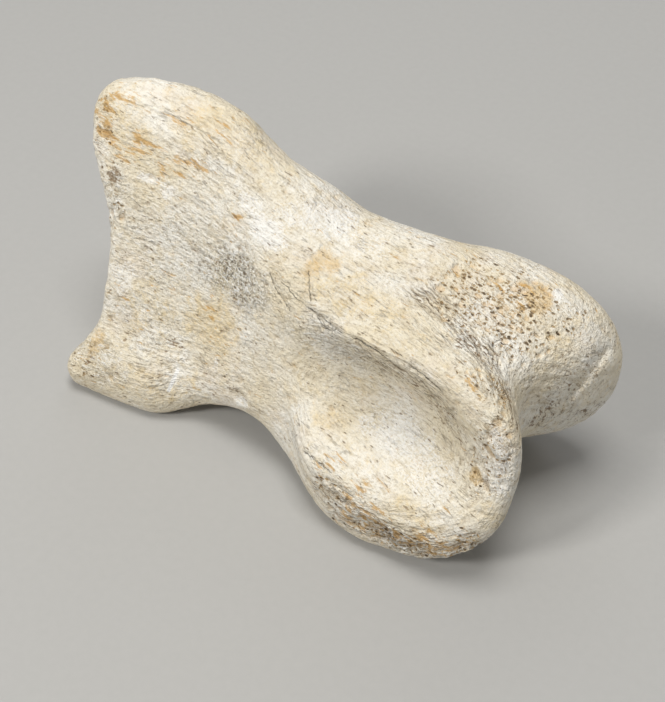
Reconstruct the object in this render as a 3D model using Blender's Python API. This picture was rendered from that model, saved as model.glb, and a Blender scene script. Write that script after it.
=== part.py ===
"""A fossil hand bone of a theropod dinosaur: one phalanx, lying on its underside.

The far end, with its two knuckles, points along +X, and the joint face that met the bone before it
faces -X. The near side faces -Y and the bone rests on the plane z = 0. All sizes are in millimetres.
"""

import bpy
import bmesh
import numpy as np

MM = 0.001

# Stations along the bone, from the joint face to the knuckles
STATIONS = (-10, 0, 10, 20, 30, 38, 46, 55, 65, 75)

# The four long edges of the shaft: how far across (Y) and how high (Z) each one runs at the stations
NEAR_LOWER_Y = (-25.5, -24.6, -23.4, -21.2, -20.2, -20.2, -20.9, -24.9, -25.1, -25.4)
NEAR_LOWER_Z = (-2.0, -2.0, -2.0, -0.8, 3.7, 5.0, 1.8, -0.8, -2.0, -2.0)
NEAR_UPPER_Y = (-0.1, 0.7, 1.6, 0.4, -4.0, -9.0, -13.0, -15.0, -15.0, -15.0)
NEAR_UPPER_Z = (56.2, 60.4, 59.8, 59.0, 53.2, 47.2, 43.2, 42.4, 40.0, 38.0)
FAR_UPPER_Y = (9.9, 9.9, 10.9, 10.9, 9.8, 10.0, 10.9, 12.3, 11.0, 11.9)
FAR_UPPER_Z = (52.9, 57.7, 59.6, 58.8, 54.5, 52.4, 48.1, 46.4, 46.2, 42.0)
FAR_LOWER_Y = (23, 24, 24, 23, 20, 17, 17, 18, 18, 17)
FAR_LOWER_Z = (-2, -2, -2, -2, 3, 7, 5, 1, -1, -1)
EDGE_ROUNDING = (7, 7.5, 8.5, 10, 11, 11, 10, 9, 7, 7)
SHAFT_END = 72.0
SHAFT_END_ROUNDING = 12.0

# The hollow joint face: where its margin stands along X at heights above the floor
MARGIN_HEIGHTS = (0, 4, 8, 13, 20, 28, 36, 46, 56, 64)
MARGIN_X = (-4.0, -3.3, -1.8, -0.3, -0.6, -1.3, -3.6, -8.9, -9.9, -10.0)
MARGIN_ROUNDING = 4.0
FACE_MIDDLE_Y = 1.0
FACE_HALF_WIDTH = 20.0
FACE_HOLLOW = 2.2
FACE_HOLLOW_TOP = 58.0
FACE_KEEL = 1.6
FACE_KEEL_Y = 3.0
FACE_KEEL_WIDTH = 4.0
FACE_KEEL_TOP = 50.0
FACE_FADE = 20.0

# The pointed lower corner of the joint face on the near side
HEEL_ROOT = (13.0, -15.5, 7.0)
HEEL_TIP = (-0.2, -22.1, 5.6)
HEEL_ROOT_RADIUS = 7.0
HEEL_TIP_RADIUS = 0.9
HEEL_BLEND = 8.0

# The pulley of the two knuckles, turned about a line across the bone
PULLEY_X = 74.65
PULLEY_Z = 26.94
PULLEY_SKEW = 0.11
PULLEY_REACH = 20.92
PULLEY_ABOVE = 16.33
PULLEY_BELOW = 25.5
PULLEY_TOP = 46.0
SQUARE_ABOVE = 2.25
SQUARE_BELOW = 2.15
SQUARE_BELOW_FALL = 0.02
NEAR_FALL = (0.30, 9.0)
FAR_FALL = (0.22, 10.0)
NEAR_CREST_Y = (-23.1, -16.0)
GROOVE_Y = (-2.0, -7.0)
FAR_CREST_Y = (17.1, 10.1)
NEAR_FLANK_Y = (29.8, 15.3)
FAR_FLANK_Y = (18.3, 18.7)
GROOVE_DEPTH = (0.36, 0.13)
GROOVE_FADE_Z = (28.0, 42.0)
FLANK_ROUNDING = 5.0
PULLEY_BLEND = 7.0

# The hollows: middle, half sizes, and the turn in the side view in degrees
NEAR_PIT = ((63.0, -28.5, 29.0), (29.0, 15.0, 14.0), -5.0)
FAR_PIT = ((70.0, 28.0, 26.0), (18.0, 11.0, 13.0), -8.0)
PIT_ROUNDING = (4.5, 6.0)
UNDER_HOLLOW_Y = -1.0
UNDER_HOLLOW_Z = -4.0
UNDER_HOLLOW_HALF = (16.0, 8.0)
UNDER_HOLLOW_ROUNDING = 4.0

# The mesh: one point in each cell of a grid that the surface crosses, then spread a little and drawn on to it
CELL = 2.0
GRID_LOW = (-16.0, -32.3, -3.0)
GRID_HIGH = (103.0, 29.0, 66.0)
SPREAD_ROUNDS = 14
SPREAD_SHARE = 0.4
LAST_ROUNDS = 6
LONGEST_STEP = 1.5
SLOPE_GAP = 0.05
LEAST_SLOPE = 0.3
FLOOR_SNAP = 0.05


def remove_everything():
    """Clears the objects of the start-up scene."""
    for old in list(bpy.data.objects):
        bpy.data.objects.remove(old, do_unlink=True)


def along(x, stations, values):
    """A smooth curve through values at stations, level beyond both ends."""
    stations = np.asarray(stations, float)
    values = np.asarray(values, float)
    x = np.clip(x, stations[0], stations[-1])
    slopes = np.gradient(values, stations)
    i = np.clip(np.searchsorted(stations, x, side="right") - 1, 0, len(stations) - 2)
    gap = stations[i + 1] - stations[i]
    t = (x - stations[i]) / gap
    start = (1 + 2 * t) * (1 - t) ** 2 * values[i] + t * (1 - t) ** 2 * gap * slopes[i]
    end = t * t * (3 - 2 * t) * values[i + 1] + t * t * (t - 1) * gap * slopes[i + 1]
    return start + end


def both(a, b, rounding):
    """What lies in both solids, with the edge between them rounded."""
    near = np.maximum(rounding - np.abs(a - b), 0) / rounding
    return np.maximum(a, b) + near * near * rounding * 0.25


def either(a, b, rounding):
    """What lies in either solid, with the corner between them filled."""
    return -both(-a, -b, rounding)


def shaft(x, y, z):
    """Distance outside the four-sided shaft, negative inside."""
    corners = (
        (along(x, STATIONS, NEAR_LOWER_Y), along(x, STATIONS, NEAR_LOWER_Z)),
        (along(x, STATIONS, FAR_LOWER_Y), along(x, STATIONS, FAR_LOWER_Z)),
        (along(x, STATIONS, FAR_UPPER_Y), along(x, STATIONS, FAR_UPPER_Z)),
        (along(x, STATIONS, NEAR_UPPER_Y), along(x, STATIONS, NEAR_UPPER_Z)),
    )
    rounding = along(x, STATIONS, EDGE_ROUNDING)
    outside = None
    for (y0, z0), (y1, z1) in zip(corners, corners[1:] + corners[:1]):
        length = np.hypot(y1 - y0, z1 - z0)
        side = ((y - y0) * (z1 - z0) - (z - z0) * (y1 - y0)) / length
        outside = side if outside is None else both(outside, side, rounding)
    return both(outside, x - SHAFT_END, SHAFT_END_ROUNDING)


def joint_face(y, z):
    """Where the hollow joint face stands along X, with a low keel down its middle."""
    across = np.clip(1 - ((y - FACE_MIDDLE_Y) / FACE_HALF_WIDTH) ** 2, 0, 1)
    hollow = FACE_HOLLOW * across * np.clip((FACE_HOLLOW_TOP - z) / FACE_FADE, 0, 1)
    ridge = np.exp(-(((y - FACE_KEEL_Y) / FACE_KEEL_WIDTH) ** 2))
    keel = FACE_KEEL * ridge * np.clip((FACE_KEEL_TOP - z) / FACE_FADE, 0, 1)
    return along(z, MARGIN_HEIGHTS, MARGIN_X) + hollow - keel


def heel(x, y, z):
    """Distance outside the pointed heel at the lower near corner of the joint face."""
    root = np.array(HEEL_ROOT)
    axis = np.array(HEEL_TIP) - root
    from_root = np.stack([x - root[0], y - root[1], z - root[2]], axis=-1)
    t = np.clip(from_root @ axis / (axis @ axis), 0, 1)
    gap = np.linalg.norm(from_root - t[..., None] * axis, axis=-1)
    return gap - (HEEL_ROOT_RADIUS + (HEEL_TIP_RADIUS - HEEL_ROOT_RADIUS) * t)


def pulley(x, y, z):
    """Distance outside the two knuckles and the groove between them."""
    up = np.clip(z / PULLEY_TOP, 0, 1)
    ahead = x - PULLEY_X - PULLEY_SKEW * y
    above = z - PULLEY_Z
    reach_z = np.where(above > 0, PULLEY_ABOVE, PULLEY_BELOW)
    lower_front = SQUARE_BELOW - SQUARE_BELOW_FALL * np.clip(y, NEAR_CREST_Y[1], -NEAR_CREST_Y[1])
    squareness = np.where(above > 0, SQUARE_ABOVE, np.where(ahead > 0, lower_front, SQUARE_BELOW))
    forward = np.abs(ahead / PULLEY_REACH) ** squareness
    upward = np.abs(above / reach_z) ** squareness
    turn = (forward + upward) ** (1 / squareness)
    near_crest = NEAR_CREST_Y[0] + (NEAR_CREST_Y[1] - NEAR_CREST_Y[0]) * up
    groove = GROOVE_Y[0] + (GROOVE_Y[1] - GROOVE_Y[0]) * up
    far_crest = FAR_CREST_Y[0] + (FAR_CREST_Y[1] - FAR_CREST_Y[0]) * up
    near_flank = NEAR_FLANK_Y[0] + (NEAR_FLANK_Y[1] - NEAR_FLANK_Y[0]) * up
    far_flank = FAR_FLANK_Y[0] + (FAR_FLANK_Y[1] - FAR_FLANK_Y[0]) * up
    from_near = np.clip((y - near_crest) / (groove - near_crest), 0, 1)
    from_far = np.clip((far_crest - y) / (far_crest - groove), 0, 1)
    valley = 0.5 - 0.5 * np.cos(np.pi * np.minimum(from_near, from_far))
    rise = np.clip((z - GROOVE_FADE_Z[0]) / (GROOVE_FADE_Z[1] - GROOVE_FADE_Z[0]), 0, 1)
    depth = GROOVE_DEPTH[0] + (GROOVE_DEPTH[1] - GROOVE_DEPTH[0]) * rise * rise * (3 - 2 * rise)
    near_fall = NEAR_FALL[0] * np.clip((near_crest - y) / NEAR_FALL[1], 0, 2) ** 2
    far_fall = FAR_FALL[0] * np.clip((y - far_crest) / FAR_FALL[1], 0, 2) ** 2
    profile = 1 - depth * valley - near_fall - far_fall
    flanks = np.maximum(y - far_flank, -y - near_flank)
    return both((turn - profile) * PULLEY_REACH, flanks, FLANK_ROUNDING)


def pit(x, y, z, shape):
    """Distance outside the egg-shaped hollow that a ligament once filled."""
    middle, half, turn = shape
    c = np.cos(np.radians(turn))
    s = np.sin(np.radians(turn))
    u = (x - middle[0]) * c + (z - middle[2]) * s
    w = (z - middle[2]) * c - (x - middle[0]) * s
    size = np.sqrt((u / half[0]) ** 2 + ((y - middle[1]) / half[1]) ** 2 + (w / half[2]) ** 2)
    return (size - 1) * min(half)


def under_hollow(y, z):
    """Distance outside the shallow trough along the underside."""
    half_y, half_z = UNDER_HOLLOW_HALF
    size = np.hypot((y - UNDER_HOLLOW_Y) / half_y, (z - UNDER_HOLLOW_Z) / half_z)
    return (size - 1) * half_z


def bone(x, y, z):
    """Positive outside the bone, negative inside it."""
    outside = either(shaft(x, y, z), pulley(x, y, z), PULLEY_BLEND)
    outside = both(outside, joint_face(y, z) - x, MARGIN_ROUNDING)
    outside = either(outside, heel(x, y, z), HEEL_BLEND)
    outside = both(outside, -pit(x, y, z, NEAR_PIT), PIT_ROUNDING[0])
    outside = both(outside, -pit(x, y, z, FAR_PIT), PIT_ROUNDING[1])
    outside = both(outside, -under_hollow(y, z), UNDER_HOLLOW_ROUNDING)
    return np.maximum(outside, -z)


def cells_on_surface():
    """A point for each grid cell that the surface crosses, and the four-sided faces that join them."""
    lines = [np.arange(low, high, CELL) for low, high in zip(GRID_LOW, GRID_HIGH)]
    out = bone(*np.meshgrid(*lines, indexing="ij"))
    inside = out < 0
    corners = [inside[i:i - 1 or None, j:j - 1 or None, k:k - 1 or None]
               for i in (0, 1) for j in (0, 1) for k in (0, 1)]
    count = np.sum(corners, axis=0)
    crossed = (count > 0) & (count < 8)
    number = np.full(crossed.shape, -1)
    number[crossed] = np.arange(crossed.sum())
    total = np.zeros((crossed.sum(), 3))
    faces = []
    for axis in range(3):
        step = np.eye(3, dtype=int)[axis]
        low = out[tuple(slice(0, n - s) for n, s in zip(out.shape, step))]
        high = out[tuple(slice(s, n) for n, s in zip(out.shape, step))]
        edges = np.argwhere((low < 0) != (high < 0))
        at_low = low[tuple(edges.T)]
        share = at_low / (at_low - high[tuple(edges.T)])
        crossing = np.array(GRID_LOW) + (edges + share[:, None] * step) * CELL
        second = np.eye(3, dtype=int)[(axis + 1) % 3]
        third = np.eye(3, dtype=int)[(axis + 2) % 3]
        ring = [edges - second - third, edges - third, edges, edges - second]
        around = np.stack([number[tuple(cell.T)] for cell in ring], axis=1)
        np.add.at(total, around, crossing[:, None, :])
        faces.append(np.where(at_low[:, None] < 0, around, around[:, ::-1]))
    faces = np.concatenate(faces)
    return total / np.bincount(faces.ravel())[:, None], faces


def nudge(points, pull):
    """Moves each point along the surface by its pull, and square to the surface until it lies on it."""
    x, y, z = points.T
    slope = np.stack([
        bone(x + SLOPE_GAP, y, z) - bone(x - SLOPE_GAP, y, z),
        bone(x, y + SLOPE_GAP, z) - bone(x, y - SLOPE_GAP, z),
        bone(x, y, z + SLOPE_GAP) - bone(x, y, z - SLOPE_GAP),
    ], axis=1) / (2 * SLOPE_GAP)
    steepness = np.maximum(np.linalg.norm(slope, axis=1, keepdims=True), LEAST_SLOPE)
    normal = slope / steepness
    back = np.clip(bone(x, y, z)[:, None] / steepness, -LONGEST_STEP, LONGEST_STEP)
    level = pull - normal * (pull * normal).sum(axis=1, keepdims=True)
    return points + level - normal * back


def spread(points, faces):
    """Evens the points out over the bone, each towards the middle of its neighbours."""
    ahead = np.roll(faces, -1, axis=1)
    count = np.bincount(faces.ravel(), minlength=len(points))[:, None]
    for _ in range(SPREAD_ROUNDS):
        total = np.zeros_like(points)
        np.add.at(total, faces, points[ahead])
        points = nudge(points, SPREAD_SHARE * (total / count - points))
    for _ in range(LAST_ROUNDS):
        points = nudge(points, np.zeros_like(points))
    points[:, 2] = np.where(points[:, 2] < FLOOR_SNAP, 0.0, points[:, 2])
    return points


def fossil_material():
    """Cream, stained bone turned to stone."""
    material = bpy.data.materials.new("fossil_bone")
    material.use_nodes = True
    shader = material.node_tree.nodes["Principled BSDF"]
    shader.inputs["Base Color"].default_value = (0.62, 0.55, 0.42, 1.0)
    shader.inputs["Roughness"].default_value = 0.8
    return material


def build_phalanx():
    """The whole bone as one closed mesh, centred over the origin and resting on z = 0."""
    points, faces = cells_on_surface()
    points = spread(points, faces)
    middle = (points.min(axis=0) + points.max(axis=0)) / 2
    middle[2] = 0.0
    mesh = bpy.data.meshes.new("phalanx")
    mesh.from_pydata(((points - middle) * MM).tolist(), [], faces.tolist())
    work = bmesh.new()
    work.from_mesh(mesh)
    bmesh.ops.triangulate(work, faces=work.faces[:])
    bmesh.ops.recalc_face_normals(work, faces=work.faces[:])
    work.to_mesh(mesh)
    work.free()
    mesh.shade_smooth()
    mesh.materials.append(fossil_material())
    phalanx = bpy.data.objects.new("phalanx", mesh)
    bpy.context.scene.collection.objects.link(phalanx)
    return phalanx


remove_everything()
build_phalanx()
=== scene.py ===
"""Visual model of a fossil dinosaur finger bone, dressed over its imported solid.

The bone lies on its underside with its two knuckles towards +X. All sizes in the classes are in
millimetres, and the finished meshes are in metres.
"""

import logging
from collections.abc import Callable
from dataclasses import dataclass, field
from enum import Enum

import bmesh
import bpy
import numpy as np
from mathutils import Matrix, Vector, noise

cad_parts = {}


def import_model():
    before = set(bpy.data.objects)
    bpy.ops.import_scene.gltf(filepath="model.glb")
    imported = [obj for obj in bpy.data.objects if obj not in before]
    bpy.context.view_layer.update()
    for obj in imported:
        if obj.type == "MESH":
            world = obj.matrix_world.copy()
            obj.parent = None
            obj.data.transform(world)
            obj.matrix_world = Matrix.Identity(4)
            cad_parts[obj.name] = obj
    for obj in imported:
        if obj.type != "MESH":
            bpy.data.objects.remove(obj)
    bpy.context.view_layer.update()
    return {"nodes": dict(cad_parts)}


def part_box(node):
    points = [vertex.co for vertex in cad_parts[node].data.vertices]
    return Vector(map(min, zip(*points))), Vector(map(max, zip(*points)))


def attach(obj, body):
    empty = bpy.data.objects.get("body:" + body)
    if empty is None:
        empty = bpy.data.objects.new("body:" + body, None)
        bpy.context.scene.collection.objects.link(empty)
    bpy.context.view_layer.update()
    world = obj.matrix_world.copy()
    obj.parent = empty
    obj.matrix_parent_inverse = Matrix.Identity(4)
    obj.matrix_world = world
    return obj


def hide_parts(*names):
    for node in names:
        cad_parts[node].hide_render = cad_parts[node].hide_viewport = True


MM = 0.001
LOG = logging.getLogger("fossil_bone")

# How far beside a drawn line its distance is kept, in millimetres
LINE_LIMIT = 6.0

# How fast the finer layers of a noise weaken, how much finer each is, and what gives each cell its own number
LAYER_FALL = 0.9
LAYER_STEP = 2.1
CELL_SHUFFLE = 7.7

Span = tuple[float, float]
Place = tuple[float, float, float]
Colour = tuple[float, float, float, float]


def ink(red: int, green: int, blue: int) -> Colour:
    """A paint-card colour as the linear colour that a shader takes, by the sRGB curve.

    Args:
        red: how red it is, 0 to 255.
        green: how green it is.
        blue: how blue it is.

    Returns:
        The linear colour, opaque.
    """
    shares = [value / 255 for value in (red, green, blue)]
    linear = [s / 12.92 if s <= 0.04045 else ((s + 0.055) / 1.055) ** 2.4 for s in shares]
    return (linear[0], linear[1], linear[2], 1.0)


class Flow:
    """A number that varies over the surface: a shader socket with arithmetic."""

    def __init__(self, bench: "Bench", socket: bpy.types.NodeSocket) -> None:
        """Keeps the socket and the bench that its nodes are on.

        Args:
            bench: the bench that adds the nodes.
            socket: the output socket that carries the number.
        """
        self.bench = bench
        self.socket = socket

    def _with(self, operation: str, *others: "Flow | float", clamp: bool = False) -> "Flow":
        """The result of one Math node.

        Args:
            operation: the Math node's operation.
            others: what follows this number in the operation.
            clamp: whether the result is held between 0 and 1.

        Returns:
            The node's result.
        """
        sockets = dict(enumerate((self, *others)))
        made = self.bench.node("ShaderNodeMath", {"operation": operation, "use_clamp": clamp}, sockets)
        return Flow(self.bench, made.outputs[0])

    def __add__(self, other: "Flow | float") -> "Flow":
        """This number plus another."""
        return self._with("ADD", other)

    __radd__ = __add__

    def __sub__(self, other: "Flow | float") -> "Flow":
        """This number less another."""
        return self._with("SUBTRACT", other)

    def __rsub__(self, other: float) -> "Flow":
        """A plain number less this one."""
        made = self.bench.node("ShaderNodeMath", {"operation": "SUBTRACT"}, {0: other, 1: self})
        return Flow(self.bench, made.outputs[0])

    def __mul__(self, other: "Flow | float") -> "Flow":
        """This number times another."""
        return self._with("MULTIPLY", other)

    __rmul__ = __mul__

    def __abs__(self) -> "Flow":
        """This number without its sign."""
        return self._with("ABSOLUTE")

    def most(self, other: "Flow | float") -> "Flow":
        """The larger of two numbers."""
        return self._with("MAXIMUM", other)

    def folded(self, width: float) -> "Flow":
        """This number run to and fro between 0 and a width."""
        return self._with("PINGPONG", width)

    def held(self) -> "Flow":
        """This number held between 0 and 1."""
        return self._with("ADD", 0.0, clamp=True)

    def between(self, low: float, high: float) -> "Flow":
        """A soft step from 0 at low to 1 at high, or the other way round where high is the smaller.

        Args:
            low: the number that gives 0.
            high: the number that gives 1.

        Returns:
            The share, from 0 to 1.
        """
        start, end, first, last = (low, high, 0.0, 1.0) if low < high else (high, low, 1.0, 0.0)
        made = self.bench.node(
            "ShaderNodeMapRange",
            {"interpolation_type": "SMOOTHSTEP"},
            {"Value": self, "From Min": start, "From Max": end, "To Min": first, "To Max": last},
        )
        return Flow(self.bench, made.outputs["Result"])


class Bench:
    """The node tree of one material, with a method for each kind of node that is used often."""

    def __init__(self, name: str) -> None:
        """Makes an empty material with a surface shader.

        Args:
            name: the material's name.
        """
        self.material = bpy.data.materials.new(name)
        self.material.use_nodes = True
        self.tree = self.material.node_tree
        self.shader = self.tree.nodes["Principled BSDF"]

    def node(self, kind: str, settings: dict, sockets: dict) -> bpy.types.Node:
        """Adds one node, sets its options first and then its sockets.

        Args:
            kind: the node's type.
            settings: the node's own properties.
            sockets: a value, socket or Flow for each input, by name or number.

        Returns:
            The node.
        """
        made = self.tree.nodes.new(kind)
        for name, value in settings.items():
            setattr(made, name, value)
        for name, value in sockets.items():
            self.feed(made.inputs[name], value)
        return made

    def feed(self, target: bpy.types.NodeSocket, value: object) -> None:
        """Links a socket or Flow to an input, or sets its plain value.

        Args:
            target: the input socket.
            value: what it takes.
        """
        if isinstance(value, Flow):
            value = value.socket
        if isinstance(value, bpy.types.NodeSocket):
            self.tree.links.new(value, target)
        else:
            target.default_value = value

    def place(self) -> bpy.types.NodeSocket:
        """The point on the object, in millimetres."""
        coordinates = self.node("ShaderNodeTexCoord", {}, {})
        return self.scaled(coordinates.outputs["Object"], (1 / MM, 1 / MM, 1 / MM))

    def scaled(self, vector: bpy.types.NodeSocket, factors: Place) -> bpy.types.NodeSocket:
        """A vector with each part multiplied.

        Args:
            vector: the vector.
            factors: the multiplier of each part.

        Returns:
            The product.
        """
        made = self.node("ShaderNodeVectorMath", {"operation": "MULTIPLY"}, {0: vector, 1: factors})
        return made.outputs[0]

    def bent(self, vector: bpy.types.NodeSocket, scale: float, amount: float) -> bpy.types.NodeSocket:
        """A vector pushed about by a coloured noise, so that a pattern on it isn't regular.

        Args:
            vector: the vector.
            scale: the noise's scale.
            amount: how far it is pushed, in millimetres.

        Returns:
            The bent vector.
        """
        push = self.node("ShaderNodeTexNoise", {}, {"Vector": vector, "Scale": scale, "Detail": 2.0})
        sockets = {0: push.outputs["Color"], 1: (0.5,) * 3}
        centred = self.node("ShaderNodeVectorMath", {"operation": "SUBTRACT"}, sockets)
        pushed = self.scaled(centred.outputs[0], (amount,) * 3)
        return self.node("ShaderNodeVectorMath", {"operation": "ADD"}, {0: vector, 1: pushed}).outputs[0]

    def mark(self, name: str) -> Flow:
        """A number painted on the mesh's points."""
        made = self.node("ShaderNodeAttribute", {"attribute_name": name}, {})
        return Flow(self, made.outputs["Fac"])

    def coordinates(self, name: str) -> bpy.types.NodeSocket:
        """One of the mesh's own sets of coordinates along and across the fibres."""
        made = self.node("ShaderNodeAttribute", {"attribute_name": name}, {})
        return made.outputs["Vector"]

    def lie(self, pattern: Callable[[bpy.types.NodeSocket], Flow]) -> Flow:
        """A pattern that follows the shaft's fibres, and those round the hollow where the mesh says so.

        Args:
            pattern: makes the pattern on a set of coordinates.

        Returns:
            The pattern.
        """
        shaft = pattern(self.coordinates("grain"))
        ring = pattern(self.coordinates("ring"))
        return shaft + (ring - shaft) * self.mark("ring_here")

    def cloud(
        self, vector: bpy.types.NodeSocket, scale: float, detail: float, roughness: float = 0.55
    ) -> Flow:
        """A soft noise from 0 to 1.

        Args:
            vector: where it is read.
            scale: how many lumps to a unit.
            detail: how many finer layers.
            roughness: how strong the finer layers are.

        Returns:
            The noise.
        """
        sockets = {"Vector": vector, "Scale": scale, "Detail": detail, "Roughness": roughness}
        made = self.node("ShaderNodeTexNoise", {}, sockets)
        return Flow(self, made.outputs["Fac"])

    def cells(self, vector: bpy.types.NodeSocket, scale: float) -> tuple[Flow, Flow, Flow]:
        """A cell pattern.

        Args:
            vector: where it is read.
            scale: how many cells to a unit.

        Returns:
            The distance from the cell's middle, and two numbers from 0 to 1 that each cell has as its own.
        """
        made = self.node("ShaderNodeTexVoronoi", {"feature": "F1"}, {"Vector": vector, "Scale": scale})
        own = self.node("ShaderNodeSeparateColor", {}, {"Color": made.outputs["Color"]})
        found = (made.outputs["Distance"], own.outputs["Red"], own.outputs["Green"])
        return Flow(self, found[0]), Flow(self, found[1]), Flow(self, found[2])

    def net(self, vector: bpy.types.NodeSocket, scale: float) -> Flow:
        """The distance from the nearest edge of a cell pattern.

        Args:
            vector: where it is read.
            scale: how many cells to a unit.

        Returns:
            The distance.
        """
        settings = {"feature": "DISTANCE_TO_EDGE"}
        made = self.node("ShaderNodeTexVoronoi", settings, {"Vector": vector, "Scale": scale})
        return Flow(self, made.outputs["Distance"])

    def mix(self, share: Flow, first: object, second: object) -> bpy.types.NodeSocket:
        """A colour between two others.

        Args:
            share: 0 for the first, 1 for the second.
            first: a colour or colour socket.
            second: a colour or colour socket.

        Returns:
            The colour.
        """
        made = self.node("ShaderNodeMix", {"data_type": "RGBA"}, {0: share, 6: first, 7: second})
        return made.outputs[2]


class Mark(Enum):
    """What is painted on the bone's points, each as a number from 0 to 1."""

    OCHRE = "ochre"
    STAIN = "stain"
    STRAW = "straw"
    GREY = "grey"
    CHALK_AND_HIGHLIGHT = "chalk"
    BROWN = "brown"
    PITTED = "pitted"
    SPONGY = "spongy"
    FIBROUS_AND_SHADE = "fibrous_and_shade"
    WORN = "worn"


@dataclass(frozen=True)
class Patch:
    """A soft-edged patch of one mark."""

    place: Place
    reach: Place
    strength: float = 1.0


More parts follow.
